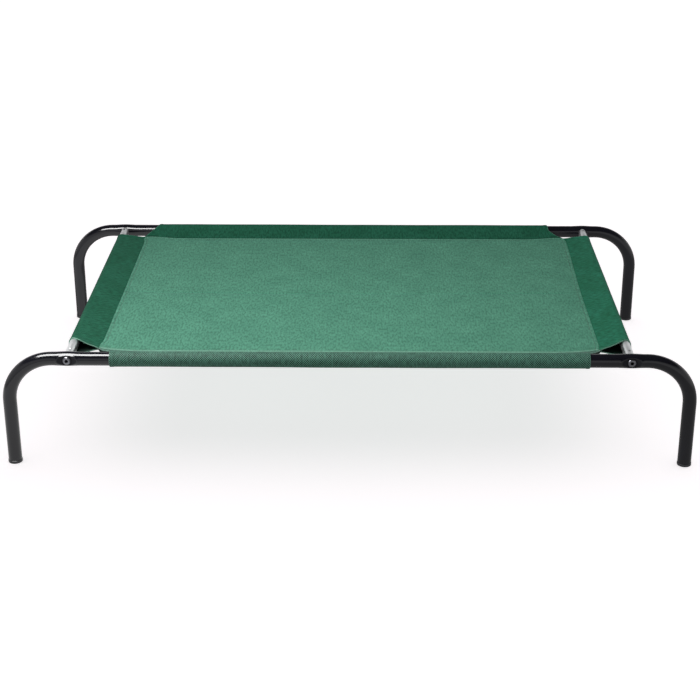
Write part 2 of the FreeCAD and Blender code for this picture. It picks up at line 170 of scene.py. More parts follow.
def make_piece(name, bm, material, slot, *nodes):
    """Turns a finished bmesh into a smooth piece that rides on the bed."""
    mesh = bpy.data.meshes.new(name)
    bm.to_mesh(mesh)
    bm.free()
    mesh.materials.append(material)
    mesh.shade_smooth()
    piece = bpy.data.objects.new(name, mesh)
    bpy.context.scene.collection.objects.link(piece)
    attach(piece, "root")
    if nodes:
        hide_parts(*nodes)
    return piece


def add_wall(piece, thickness, offset=-1.0):
    """Gives a skin its thickness, inwards unless the offset says otherwise."""
    wall = piece.modifiers.new("wall", "SOLIDIFY")
    wall.thickness = thickness
    wall.offset = offset
    wall.use_even_offset = True
    return wall


# ---- camera ---------------------------------------------------------------------------


def make_camera():
    """A short telephoto in front of the bed and a little above it."""
    data = bpy.data.cameras.new("camera")
    data.sensor_width = 36
    data.lens = 79.51
    camera = bpy.data.objects.new("camera", data)
    place = Vector((0.0334, -2.5375, 1.1460))
    down, turned, rolled = (math.radians(angle) for angle in (23.096, 0.808, -0.079))
    aim = Euler((math.pi / 2 - down, 0, turned)).to_matrix().to_4x4()
    camera.matrix_world = Matrix.Translation(place) @ aim @ Matrix.Rotation(rolled, 4, "Z")
    bpy.context.scene.collection.objects.link(camera)
    bpy.context.scene.camera = camera


# ---- materials ------------------------------------------------------------------------

# The Mix node has an A, a B and a result for each kind of value. These are its colours.
COLOUR_A, COLOUR_B, COLOUR_RESULT = 6, 7, 2


def add(tree, kind, inputs=None, stops=(), **settings):
    """Adds a node, sets its properties, and sets or links its inputs. The stops of a colour
    ramp are (position, sRGB hex) pairs, in order."""
    node = tree.nodes.new(f"ShaderNode{kind}")
    for name, value in settings.items():
        setattr(node, name, value)
    for number, (position, hex_colour) in enumerate(stops):
        elements = node.color_ramp.elements
        element = elements[number] if number < 2 else elements.new(position)
        element.position = position
        element.color = linear(hex_colour)
    for name, value in (inputs or {}).items():
        if isinstance(value, bpy.types.NodeSocket):
            tree.links.new(value, node.inputs[name])
        else:
            node.inputs[name].default_value = value
    return node


def new_material(name):
    """A material with an empty Principled shader wired to its output."""
    material = bpy.data.materials.new(name)
    material.use_nodes = True
    tree = material.node_tree
    tree.nodes.clear()
    shader = add(tree, "BsdfPrincipled")
    add(tree, "OutputMaterial", {"Surface": shader.outputs["BSDF"]})
    return material, tree, shader


def set_inputs(shader, **values):
    for name, value in values.items():
        shader.inputs[name.replace("_", " ")].default_value = value


SEAT_MARK = "bolt_seat"
SOCKET_MARK = "bolt_socket"


def powder_coat():
    """Gloss black polyester powder coat on steel: a hard film with a faint orange peel,
    which breaks up the edges of a reflection, and dust-dull patches."""
    material, tree, shader = new_material("powder_coat_gloss_black")
    place = add(tree, "TexCoord").outputs["Object"]
    # The dull patches are about 80 mm across.
    cloud = add(tree, "TexNoise", {"Vector": place, "Scale": 1 / (80 * MM), "Detail": 3.0})
    colour = add(tree, "ValToRGB", {"Fac": cloud.outputs["Fac"]}, [(0.3, "0F0F15"), (0.7, "16161E")])
    tree.links.new(colour.outputs["Color"], shader.inputs["Base Color"])
    rough = add(
        tree,
        "MapRange",
        {"Value": cloud.outputs["Fac"], "From Min": 0.3, "From Max": 0.7, "To Min": 0.1, "To Max": 0.18},
    )
    # Powder lies thin and matt in the pressed seats of the bolts.
    seat = add(tree, "Attribute", attribute_name=SEAT_MARK).outputs["Fac"]
    dull = {"Factor": seat, "A": rough.outputs["Result"], "B": 0.9}
    rough = add(tree, "Mix", dull)
    tree.links.new(rough.outputs["Result"], shader.inputs["Roughness"])
    # Orange peel is about 2 mm across.
    peel = add(tree, "TexNoise", {"Vector": place, "Scale": 1 / (2 * MM), "Detail": 1.0})
    bump = add(tree, "Bump", {"Height": peel.outputs["Fac"], "Strength": 0.05, "Distance": 0.1 * MM})
    tree.links.new(bump.outputs["Normal"], shader.inputs["Normal"])
    set_inputs(shader, IOR=1.5, Specular_IOR_Level=0.4)
    return material


def zinc_plate():
    """Bright zinc on drawn steel tube: a clean metal with fine draw lines along the tube
    and a slightly cloudy passivated film."""
    material, tree, shader = new_material("zinc_plated_tube")
    place = add(tree, "TexCoord").outputs["Object"]
    # Draw lines are about 0.5 mm apart round the tube, drawn 1.5 mm apart to show.
    across = 1 / (1.5 * MM)
    along = 1 / (300 * MM)
    stretched = add(tree, "Mapping", {"Vector": place, "Scale": (across, along, across)})
    lines = add(tree, "TexNoise", {"Vector": stretched.outputs["Vector"], "Scale": 1.0, "Detail": 2.0})
    # The film's clouds are about 30 mm across.
    cloud = add(tree, "TexNoise", {"Vector": place, "Scale": 1 / (30 * MM), "Detail": 2.0})
    colour = add(tree, "ValToRGB", {"Fac": cloud.outputs["Fac"]}, [(0.3, "DADCDE"), (0.7, "F2F3F4")])
    tree.links.new(colour.outputs["Color"], shader.inputs["Base Color"])
    rough = add(
        tree,
        "MapRange",
        {"Value": lines.outputs["Fac"], "From Min": 0.3, "From Max": 0.7, "To Min": 0.3, "To Max": 0.45},
    )
    tree.links.new(rough.outputs["Result"], shader.inputs["Roughness"])
    bump = add(tree, "Bump", {"Height": lines.outputs["Fac"], "Strength": 0.1, "Distance": 0.05 * MM})
    tree.links.new(bump.outputs["Normal"], shader.inputs["Normal"])
    set_inputs(shader, Metallic=1.0)
    return material


def turned_steel():
    """Machined steel for the threaded inserts: fine rings about their axis."""
    material, tree, shader = new_material("turned_insert_steel")
    place = add(tree, "TexCoord").outputs["Object"]
    # Turning marks are 0.4 mm apart along the axis. A wave's bands are 0.314 / scale apart.
    rings = add(
        tree,
        "TexWave",
        {"Vector": place, "Scale": 0.314 / (0.4 * MM), "Distortion": 0.5},
        wave_type="BANDS",
        bands_direction="Y",
    )
    colour = add(tree, "ValToRGB", {"Fac": rings.outputs["Fac"]}, [(0.0, "77787A"), (1.0, "8E8F91")])
    tree.links.new(colour.outputs["Color"], shader.inputs["Base Color"])
    bump = add(tree, "Bump", {"Height": rings.outputs["Fac"], "Strength": 0.2, "Distance": 0.05 * MM})
    tree.links.new(bump.outputs["Normal"], shader.inputs["Normal"])
    set_inputs(shader, Metallic=1.0, Roughness=0.35)
    return material


def black_oxide():
    """Black oxide on the bolts: a thin satin film over steel, rubbed to grey on the head
    and still black in the socket."""
    material, tree, shader = new_material("black_oxide_bolt")
    place = add(tree, "TexCoord").outputs["Object"]
    # Rubbed spots are about 1.5 mm across.
    grain = add(tree, "TexNoise", {"Vector": place, "Scale": 1 / (1.5 * MM), "Detail": 3.0})
    rubbed = add(tree, "ValToRGB", {"Fac": grain.outputs["Fac"]}, [(0.35, "66666B"), (0.75, "84848A")])
    socket = add(tree, "Attribute", attribute_name=SOCKET_MARK).outputs["Fac"]
    worn = {"Factor": socket, COLOUR_A: rubbed.outputs["Color"], COLOUR_B: linear("09090A")}
    colour = add(tree, "Mix", worn, data_type="RGBA").outputs[COLOUR_RESULT]
    tree.links.new(colour, shader.inputs["Base Color"])
    rough = add(
        tree,
        "MapRange",
        {"Value": grain.outputs["Fac"], "From Min": 0.3, "From Max": 0.7, "To Min": 0.25, "To Max": 0.4},
    )
    tree.links.new(rough.outputs["Result"], shader.inputs["Roughness"])
    set_inputs(shader, Metallic=1.0)
    return material


def cap_plastic():
    """Injection-moulded black polyethylene: a satin skin over a fine spark-eroded grain,
    with slightly paler scuffs."""
    material, tree, shader = new_material("moulded_black_polyethylene")
    place = add(tree, "TexCoord").outputs["Object"]
    # Mould grain is about 0.4 mm across, and scuffs about 6 mm.
    grain = add(tree, "TexNoise", {"Vector": place, "Scale": 1 / (0.4 * MM), "Detail": 2.0})
    scuffs = add(tree, "TexNoise", {"Vector": place, "Scale": 1 / (6 * MM), "Detail": 4.0})
    colour = add(tree, "ValToRGB", {"Fac": scuffs.outputs["Fac"]}, [(0.4, "202024"), (0.75, "2C2C31")])
    tree.links.new(colour.outputs["Color"], shader.inputs["Base Color"])
    bump = add(tree, "Bump", {"Height": grain.outputs["Fac"], "Strength": 0.3, "Distance": 0.08 * MM})
    tree.links.new(bump.outputs["Normal"], shader.inputs["Normal"])
    set_inputs(shader, Roughness=0.3, IOR=1.5)
    return material


CLOTH_MAP = "cloth"
# Marks where a paler colour is painted along a folded edge, as a highlight.
EDGE_HIGHLIGHT_MARK = "painted_edge_highlight"
# Marks where a darker colour is painted beside the long seams, as shade.
SEAM_SHADE_MARK = "painted_seam_shade"
DRAWN_PITCH, FRONT_PITCH = 2.2 * MM, 1.8 * MM


def woven_mesh(name, gap, low, high, contrast, slubs=1.3, gloss=0.2, pitch=DRAWN_PITCH, slope=1.0):
    """Woven mesh of coated polyester yarn. Warp and weft pass over and under each other,
    so that the surface is a chequer of small satin bumps and dark hollows, a yarn apart.
    Yarns vary a little in shade along their length. A paler colour along a folded or cut edge
    is a painted highlight, and a darker colour in the groove beside a seam is painted shade.
    The yarns are 1.6 mm apart, and are drawn up to 2.2 mm apart so that they show.

    gap is the colour of the hollows, and low and high are the yarn's own shades. contrast
    is how much of the gap's colour shows, slubs is how uneven the yarns are, and a smaller
    slope makes the step from bump to hollow sharper."""
    material, tree, shader = new_material(name)
    flat = add(tree, "UVMap", uv_map=CLOTH_MAP).outputs["UV"]
    place = add(tree, "SeparateXYZ", {"Vector": flat})
    waves = []
    for axis in "XY":
        turns = {0: place.outputs[axis], 1: math.pi / pitch}
        angle = add(tree, "Math", turns, operation="MULTIPLY").outputs["Value"]
        waves.append(add(tree, "Math", {0: angle}, operation="SINE").outputs["Value"])
    over = add(tree, "Math", {0: waves[0], 1: waves[1]}, operation="MULTIPLY").outputs["Value"]
    # Thick places in the yarn are 3 mm across and 9 mm long.
    along = add(tree, "Mapping", {"Vector": flat, "Scale": (1 / (3 * MM), 1 / (9 * MM), 1)})
    slub = add(tree, "TexNoise", {"Vector": along.outputs["Vector"], "Scale": 1.0, "Detail": 1.0})
    uneven = {"Value": slub.outputs["Fac"], "From Min": 0.3, "From Max": 0.7, "To Min": -slubs}
    uneven = add(tree, "MapRange", {**uneven, "To Max": slubs}).outputs["Result"]
    raised = add(tree, "Math", {0: over, 1: uneven}, operation="ADD").outputs["Value"]
    lift = {"Value": raised, "From Min": -slope, "From Max": slope, "To Min": 1 - contrast}
    yarn = add(tree, "MapRange", lift).outputs["Result"]
    # The dye varies over about 50 mm.
    cloud = add(tree, "TexNoise", {"Vector": flat, "Scale": 1 / (50 * MM), "Detail": 3.0})
    tone = add(tree, "ValToRGB", {"Fac": cloud.outputs["Fac"]}, [(0.3, low), (0.7, high)])
    woven = {"Factor": yarn, COLOUR_A: linear(gap), COLOUR_B: tone.outputs["Color"]}
    colour = add(tree, "Mix", woven, data_type="RGBA").outputs[COLOUR_RESULT]
    # A paler colour painted along folded edges stands in for their highlight.
    edge = add(tree, "Attribute", attribute_name=EDGE_HIGHLIGHT_MARK).outputs["Fac"]
    highlighted = {"Factor": edge, COLOUR_A: colour, COLOUR_B: linear("8FB8A6")}
    colour = add(tree, "Mix", highlighted, data_type="RGBA").outputs[COLOUR_RESULT]
    # A darker colour painted beside the long seams stands in for the shade of their groove.
    groove = add(tree, "Attribute", attribute_name=SEAM_SHADE_MARK).outputs["Fac"]
    seam_shaded = {"Factor": groove, COLOUR_A: colour, COLOUR_B: linear(gap)}
    colour = add(tree, "Mix", seam_shaded, data_type="RGBA").outputs[COLOUR_RESULT]
    tree.links.new(colour, shader.inputs["Base Color"])
    bump = add(tree, "Bump", {"Height": raised, "Strength": 0.3, "Distance": 0.2 * MM})
    tree.links.new(bump.outputs["Normal"], shader.inputs["Normal"])
    set_inputs(shader, Roughness=0.7, IOR=1.5, Specular_IOR_Level=gloss)
    return material


def sleeve_inside_shade():
    """The inside of the sleeve cloth: a nearly black matt colour, which is painted shade, so
    that the open ends of the sleeves look dark."""
    material, tree, shader = new_material("sleeve_inside_painted_shade")
    place = add(tree, "TexCoord").outputs["Object"]
    # The painted shade's uneven places are about 20 mm across.
    cloud = add(tree, "TexNoise", {"Vector": place, "Scale": 1 / (20 * MM), "Detail": 2.0})
    colour = add(tree, "ValToRGB", {"Fac": cloud.outputs["Fac"]}, [(0.3, "0A1B15"), (0.7, "10251D")])
    tree.links.new(colour.outputs["Color"], shader.inputs["Base Color"])
    set_inputs(shader, Roughness=0.8, IOR=1.5, Specular_IOR_Level=0.1)
    return material


def sewing_thread():
    """Bonded polyester thread: two twisted plies with a soft sheen."""
    material, tree, shader = new_material("bonded_sewing_thread")
    place = add(tree, "TexCoord").outputs["Object"]
    # A ply's turns are about 0.6 mm apart.
    plies = add(tree, "TexNoise", {"Vector": place, "Scale": 1 / (0.6 * MM), "Detail": 1.0})
    colour = add(tree, "ValToRGB", {"Fac": plies.outputs["Fac"]}, [(0.3, "173B2E"), (0.7, "2A5B48")])
    tree.links.new(colour.outputs["Color"], shader.inputs["Base Color"])
    set_inputs(shader, Roughness=0.5, Sheen_Weight=0.2)
    return material


# ---- side frames ----------------------------------------------------------------------

LEG_STEPS, BEND_STEPS, DIMPLE_STEPS, RAIL_STEPS = 8, 24, 64, 40


def swelled(along, out, up):
    """Moves a point of the rail's skin as the press did. along is measured from the bolt,
    out from the rail's axis to the outside of the bed, and up from the axis. Also gives
    how far the point is inside the seat, from 0 to 1."""
    share = math.cos(min(1.0, abs(along) / (SWELL_LENGTH / 2)) * math.pi / 2) ** 2
    up *= 1 + share * SWELL_RISE / RAIL_R
    out *= 1 - share * SIDE_FLAT / RAIL_R
    seat = RAIL_R - DIMPLE_DEPTH
    pressed = seat + DIMPLE_RADIUS - math.sqrt(DIMPLE_RADIUS**2 - along**2)
    depth = out - pressed
    out = soft_least(out, pressed, DIMPLE_ROUNDING)
    out += LIP_HEIGHT * math.exp(-((depth / LIP_WIDTH) ** 2))
    if math.hypot(along, up) < SEAT_R:
        out = min(out, seat)
    return out, up, smoothstep(0.0, DIMPLE_ROUNDING, depth)


def side_tube(outward):
    """One bent tube: up the left leg, along the rail and down the right leg."""
    bm = bmesh.new()
    start = Matrix.Translation((-LEG_X, 0, LEG_END))
    bmesh.ops.create_circle(bm, segments=AROUND, radius=RAIL_R, matrix=start)
    bend_x, bend_z = LEG_X - BEND_RADIUS, RAIL_Z - BEND_RADIUS
    fine = CROSS_X - SWELL_LENGTH / 2
    leg = bend_z - LEG_END - END_RING
    loop = draw_out(bm, bm.edges[:], (0, 0, END_RING))
    loop = draw_out(bm, loop, (0, 0, leg), LEG_STEPS)
    loop = turn(bm, loop, (-bend_x, 0, bend_z), (0, 1, 0), math.pi / 2, BEND_STEPS)
    loop = draw_out(bm, loop, (bend_x - fine, 0, 0), DIMPLE_STEPS)
    loop = draw_out(bm, loop, (2 * fine, 0, 0), RAIL_STEPS)
    loop = draw_out(bm, loop, (bend_x - fine, 0, 0), DIMPLE_STEPS)
    loop = turn(bm, loop, (bend_x, 0, bend_z), (0, 1, 0), math.pi / 2, BEND_STEPS)
    loop = draw_out(bm, loop, (0, 0, -leg), LEG_STEPS)
    draw_out(bm, loop, (0, 0, -END_RING))
    mark = bm.verts.layers.float.new(SEAT_MARK)
    for vert in bm.verts:
        along = abs(vert.co.x) - CROSS_X
        if vert.co.z > bend_z and abs(along) < SWELL_LENGTH / 2:
            out, up, vert[mark] = swelled(along, outward * vert.co.y, vert.co.z - RAIL_Z)
            vert.co.y, vert.co.z = outward * out, RAIL_Z + up
    bmesh.ops.translate(bm, vec=(0, outward * RAIL_Y, 0), verts=bm.verts)
    bmesh.ops.recalc_face_normals(bm, faces=bm.faces)
    return bm


def make_side_frames(coat):
    for word, outward in (("front", -1), ("rear", 1)):
        name = f"{word}_side_frame"
        piece = make_piece(f"{word}_bent_tube", side_tube(outward), coat, "powder_coated_steel", name)
        add_wall(piece, RAIL_WALL)


# ---- cross tubes ----------------------------------------------------------------------

STAKE_STEPS, TAPER_STEPS, ROUND_STEPS = 24, 16, 24


def squeezed(x, z, share):
    """Moves a point of the round section towards the upright slot of the same girth, whose
    two flat sides come from the parts of the circle near the height of its axis."""
    half = SQUEEZED_WIDTH / 2
    rise = math.pi * (CROSS_R - half) / 2
    angle = math.atan2(z, x)
    lift = max(-1.0, min(1.0, 3 * math.sin(angle)))
    slot_x = half * math.cos(angle)
    slot_z = half * math.sin(angle) + rise * lift
    return x + (slot_x - x) * share, z + (slot_z - z) * share


def cross_tube(x):
    """A round tube whose ends are squeezed, punched and coped to the rails."""
    bm = bmesh.new()
    end = RAIL_Y - SADDLE_R
    taper = end - SQUEEZED_LENGTH - SQUEEZE_TAPER
    near = end - 2 * STAKE_INSET
    start = Matrix.Translation((0, -end, 0)) @ Matrix.Rotation(math.pi / 2, 4, "X")
    bmesh.ops.create_circle(bm, segments=AROUND, radius=CROSS_R, matrix=start)
    loop = draw_out(bm, bm.edges[:], (0, end - near, 0), STAKE_STEPS)
    loop = draw_out(bm, loop, (0, near - taper, 0), TAPER_STEPS)
    loop = draw_out(bm, loop, (0, 2 * taper, 0), ROUND_STEPS)
    loop = draw_out(bm, loop, (0, near - taper, 0), TAPER_STEPS)
    draw_out(bm, loop, (0, end - near, 0), STAKE_STEPS)
    for vert in bm.verts:
        far = abs(vert.co.y)
        share = smoothstep(taper, taper + SQUEEZE_TAPER, far)
        vert.co.x, vert.co.z = squeezed(vert.co.x, vert.co.z, share)
        if vert.co.z > 0:
            reach = math.hypot(vert.co.x, far - (end - STAKE_INSET)) / STAKE_R
            vert.co.z -= STAKE_DEPTH * (1 - smoothstep(0.3, 1.2, reach))
        reached = RAIL_Y - math.sqrt(SADDLE_R**2 - vert.co.z**2) - end
        stretch = smoothstep(near, end, far) ** 3
        vert.co.y += math.copysign(reached * stretch, vert.co.y)
    bmesh.ops.translate(bm, vec=(x, 0, RAIL_Z), verts=bm.verts)
    bmesh.ops.recalc_face_normals(bm, faces=bm.faces)
    return bm


def make_cross_tubes(zinc):
    for word, x in (("left", -CROSS_X), ("right", CROSS_X)):
        name = f"{word}_cross_tube"
        piece = make_piece(f"{word}_squeezed_tube", cross_tube(x), zinc, "zinc_plated_steel", name)
        add_wall(piece, RAIL_WALL)


# ---- bolts and foot caps --------------------------------------------------------------

SOCKET_ACROSS = 5 * MM
SOCKET_DEPTH = 2.4 * MM
DRILL_POINT = 0.6 * MM
HEAD_HEIGHT = 3.4 * MM
SHANK_R = 3 * MM
SHANK_CHAMFER = 0.6 * MM
CAP_WALL = 2 * MM
CAP_ROUNDING = 1.6 * MM
PLUG_GAP = 0.1 * MM
RIBS = 4
FIRST_RIB, RIB_PITCH, RIB_HEIGHT = 2.5 * MM, 3.4 * MM, 0.35 * MM


def bolt(x, outward):
    """A button-head bolt with a hexagon socket, its head outwards."""
    low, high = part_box("rear_right_bolt")
    length = high.y - low.y - HEAD_HEIGHT
    corner = SOCKET_ACROSS / math.sqrt(3)
    dome = [(4.3 * MM, 0.15 * MM), (5.2 * MM, 0.6 * MM), (5.95 * MM, 1.3 * MM)]
    profile = [
        (0, -SOCKET_DEPTH - DRILL_POINT),
        (corner - 0.15 * MM, -SOCKET_DEPTH),
        (corner, -SOCKET_DEPTH + 0.1 * MM),
        (corner, -0.25 * MM),
        (corner + 0.25 * MM, 0),
        *[(radius, -drop) for radius, drop in dome],
        (HEAD_R - 0.15 * MM, -1.9 * MM),
        (HEAD_R, -2.3 * MM),
        (HEAD_R, -HEAD_HEIGHT + 0.2 * MM),
        (HEAD_R - 0.2 * MM, -HEAD_HEIGHT),
        (SHANK_R, -HEAD_HEIGHT),
        (SHANK_R, -HEAD_HEIGHT - length + SHANK_CHAMFER),
        (SHANK_R - SHANK_CHAMFER, -HEAD_HEIGHT - length),
        (0, -HEAD_HEIGHT - length),
    ]
    bm = lathe(profile, FASTENER_AROUND)
    mark = bm.verts.layers.float.new(SOCKET_MARK)
    for vert in bm.verts:
        radius = math.hypot(vert.co.x, vert.co.y)
        if radius < corner + 0.1 * MM and vert.co.z > -HEAD_HEIGHT:
            vert[mark] = 1.0
        # The round socket becomes a hexagon.
        if 0 < radius < corner + 0.3 * MM and vert.co.z > -HEAD_HEIGHT:
            sixth = math.pi / 3
            angle = math.atan2(vert.co.y, vert.co.x) % sixth - sixth / 2
            flat = math.cos(sixth / 2) / math.cos(angle)
            vert.co.x *= flat
            vert.co.y *= flat
    head = RAIL_Y + RAIL_R - DIMPLE_DEPTH + HEAD_HEIGHT
    place = Matrix.Translation((x, outward * head, RAIL_Z))
    face = Matrix.Rotation(-outward * math.pi / 2, 4, "X")
    bmesh.ops.transform(bm, matrix=place @ face, verts=bm.verts)
    return bm


def foot_cap(x, y):
    """A cap with a softly rounded rim, a dished base and a ribbed plug up the leg."""
    plug = RAIL_R - RAIL_WALL - PLUG_GAP
    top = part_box("rear_right_foot_cap")[1].z
    angles = [math.radians(18 * step) for step in range(6)]
    curve = [
        (CAP_R - CAP_ROUNDING * (1 - math.sin(angle)), CAP_ROUNDING * (1 - math.cos(angle)))
        for angle in angles
    ]
    ribs = []
    for number in range(RIBS):
        height = LEG_END + FIRST_RIB + RIB_PITCH * number
        ribs += [(plug - RIB_HEIGHT, height), (plug, height + 0.5 * MM)]
        ribs += [(plug, height + 1.1 * MM), (plug - RIB_HEIGHT, height + 1.6 * MM)]
    profile = [
        (0, 0.4 * MM),
        (6 * MM, 0.4 * MM),
        (6.4 * MM, 0),
        *curve,
        (CAP_R, LEG_END - 0.4 * MM),
        (CAP_R - 0.4 * MM, LEG_END),
        (plug - RIB_HEIGHT, LEG_END),
        *ribs,
        (plug - 0.6 * MM, top),
        (plug - CAP_WALL, top),
        (plug - CAP_WALL, LEG_END + CAP_WALL),
        (0, LEG_END + CAP_WALL),
    ]
    bm = lathe(profile, FASTENER_AROUND)
    bmesh.ops.translate(bm, vec=(x, y, 0), verts=bm.verts)
    return bm


def make_fasteners(oxide, plastic):
    for corner, (side, way) in CORNERS.items():
        x = side * CROSS_X
        make_piece(f"{corner}_button_head_bolt", bolt(x, way), oxide, "black_bolt_steel", f"{corner}_bolt")
        cap = foot_cap(side * LEG_X, way * RAIL_Y)
        make_piece(f"{corner}_ribbed_cap", cap, plastic, "cap_plastic", f"{corner}_foot_cap")


# ---- sling ----------------------------------------------------------------------------

LEFT_SEAM_SHIFT, LEFT_CORNER_SHIFT, RIGHT_SEAM_SHIFT = 8.5 * MM, 3 * MM, 5.5 * MM
FRONT_SEAM_SHIFT, REAR_SEAM_SHIFT = -8 * MM, 12 * MM


def seam_shift(side, y):
    """How far inside its straight line the left (-1) or right (1) seam was sewn."""
    if side < 0:
        corner = smoothstep(0.85, 1.0, abs(y) / SEAM_Y)
        return LEFT_SEAM_SHIFT + (LEFT_CORNER_SHIFT - LEFT_SEAM_SHIFT) * corner
    return RIGHT_SEAM_SHIFT * (1 - smoothstep(-0.2, 1.0, y / SEAM_Y))


def rail_seam_shift(way, x):
    """How far inside its straight line the front (-1) or rear (1) seam was sewn. The cover
    was pulled forwards, so the front seam is nearer its rail than the rear one."""
    shift = FRONT_SEAM_SHIFT if way < 0 else REAR_SEAM_SHIFT
    return shift * (1 - smoothstep(0.82, 1.0, abs(x) / SEAM_X))


class Wrap:
    """The line that a sleeve's cloth follows round its tube, from the seam and back.
    Places are given as (towards the seam, up) from the tube's axis. hang is how far the
    cloth hangs clear under the tube, and offset is how far the seam is from its axis."""

    def __init__(self, tube_r, hang, offset):
        self.radius = tube_r + TUBE_GAP + SHEET_T / 2
        self.hang = hang
        self.offset = offset
        tangent = math.acos(self.radius / offset)
        below = math.atan2(SHEET_T, offset)
        self.upper = tangent
        self.lower = -below - math.acos(self.radius / math.hypot(offset, SHEET_T))
        self.first = math.sqrt(offset**2 - self.radius**2)
        self.arc = self.radius * (math.tau - self.upper + self.lower)
        self.last = math.sqrt(offset**2 + SHEET_T**2 - self.radius**2)
        self.girth = self.first + self.arc + self.last + SEAM_ALLOWANCE

    def place(self, distance):
        if distance < self.first:
            return self.between((self.offset, 0), self.on_tube(self.upper), distance / self.first)
        distance -= self.first
        if distance < self.arc:
            return self.on_tube(self.upper + distance / self.radius)
        distance -= self.arc
        if distance < self.last:
            seam = (self.offset, -SHEET_T)
            toward, up = self.between(self.on_tube(self.lower), seam, distance / self.last)
            return toward, up - self.hang * math.sin(math.pi * distance / self.last)
        return self.offset + distance - self.last, -SHEET_T

    def on_tube(self, angle):
        """Cloth lies on the top of the tube and hangs a little clear below it."""
        reach = self.radius + self.hang * max(0.0, -math.sin(angle)) ** 2
        return reach * math.cos(angle), reach * math.sin(angle)

    @staticmethod
    def between(start, end, share):
        return tuple(first + (last - first) * share for first, last in zip(start, end))


class Sleeve:
    """A sleeve in its own frame: X along its tube and +Y towards its seam. side is -1 on the
    left tube and 1 on the right one, and way is -1 on the front rail and 1 on the rear one.
    trim lengthens the cloth at its two ends, or shortens it where it is negative, most over
    the tube, and notch cuts into it between the tube and the seam."""

    def __init__(self, tube, tube_r, hang, half_length, place, side=0, way=0, trim=(0, 0), notch=(0, 0)):
        self.tube, self.tube_r, self.hang = tube, tube_r, hang
        self.half_length, self.place, self.side, self.way = half_length, place, side, way
        self.trim, self.notch = trim, notch

    def wrap(self, share):
        """The section at a share of the way from the middle (0) to an end (-1 or 1)."""
        if self.way:
            shift = rail_seam_shift(self.way, share * self.half_length)
            return Wrap(self.tube_r, self.hang, SEAM_OFFSET + shift)
        shift = seam_shift(self.side, share * self.half_length * self.side)
        slack = END_SLACK * smoothstep(0.75, 1.0, abs(share))
        return Wrap(self.tube_r, self.hang + slack, SEAM_OFFSET + shift)

    def reach(self, share, toward, lower):
        """How far along the tube the scooped end of the cloth is. lower is 1 on the layer
        under the tube, which reaches further on the two cross tubes."""
        outward = min(SEAM_OFFSET, max(0.0, toward))
        centre = self.half_length + SEAM_OFFSET + SCOOP_SHIFT
        reach = centre - math.sqrt(SCOOP_R**2 - (SCOOP_SHIFT + outward) ** 2)
        near_tube = 1 - outward / SEAM_OFFSET
        end = 0 if share < 0 else 1
        reach += self.trim[end] * near_tube
        reach -= self.notch[end] * smoothstep(0.0, 0.2, near_tube) * (1 - smoothstep(0.5, 1.0, near_tube))
        if self.side:
            reach += LOWER_REACH * lower * near_tube**2
        return reach

    def point(self, wrap, share, distance, seed):
        toward, up = wrap.place(distance)
        lower = smoothstep(0.45, 0.6, distance / wrap.girth)
        along = share * self.reach(share, toward, lower)
        free = math.sin(math.pi * min(1.0, distance / (wrap.girth - SEAM_ALLOWANCE)))
        return Vector((along, toward, up + ripple(along, distance, seed) * free))


def pulled_in(point):
    """The four corners of the sling are cut a little deeper than its straight seams meet."""
    away = math.hypot(SEAM_X - abs(point.x), SEAM_Y - abs(point.y))
    share = math.exp(-((away / CORNER_SPREAD) ** 2))
    x = point.x - math.copysign(CORNER_PULL[0] * share, point.x)
    y = point.y - math.copysign(CORNER_PULL[1] * share, point.y)
    return Vector((x, y, point.z))


def ripple(along, distance, seed):
    """Slight unevenness of stretched cloth, up to about 0.4 mm: long and short waves."""
    slow = math.sin(along / (83 * MM) + seed) * math.sin(distance / (31 * MM) + 2 * seed)
    quick = math.sin(along / (29 * MM) + 3 * seed) * math.sin(distance / (17 * MM) + seed)
    return (0.25 * slow + 0.12 * quick) * MM


SLEEVE_COLUMNS, SLEEVE_ROWS = 96, 72
# The folded end of each sleeve is painted paler over a narrow width, as a highlight.
CUT_EDGE_HIGHLIGHT, CUT_EDGE_WIDTH = 0.55, 0.6 * MM
# Along the two long seams the cloth is painted darker, as shade in the groove beside the seam.
GROOVE_PAINTED_SHADE, GROOVE_WIDTH = 0.65, 3.6 * MM


def sleeve_shares(reach):
    """Where the columns of the sleeve's mesh are: close together at its two hems."""
    fold = 1 - (HEM_WIDTH + 0.7 * MM) / reach
    inner = [fold * (2 * step / SLEEVE_COLUMNS - 1) for step in range(SLEEVE_COLUMNS + 1)]
    insets = [HEM_WIDTH, HEM_WIDTH / 2, 1.2 * MM, 0.9 * MM, 0.0]
    ends = [1 - inset / reach for inset in insets]
    return [-share for share in reversed(ends)] + inner + ends


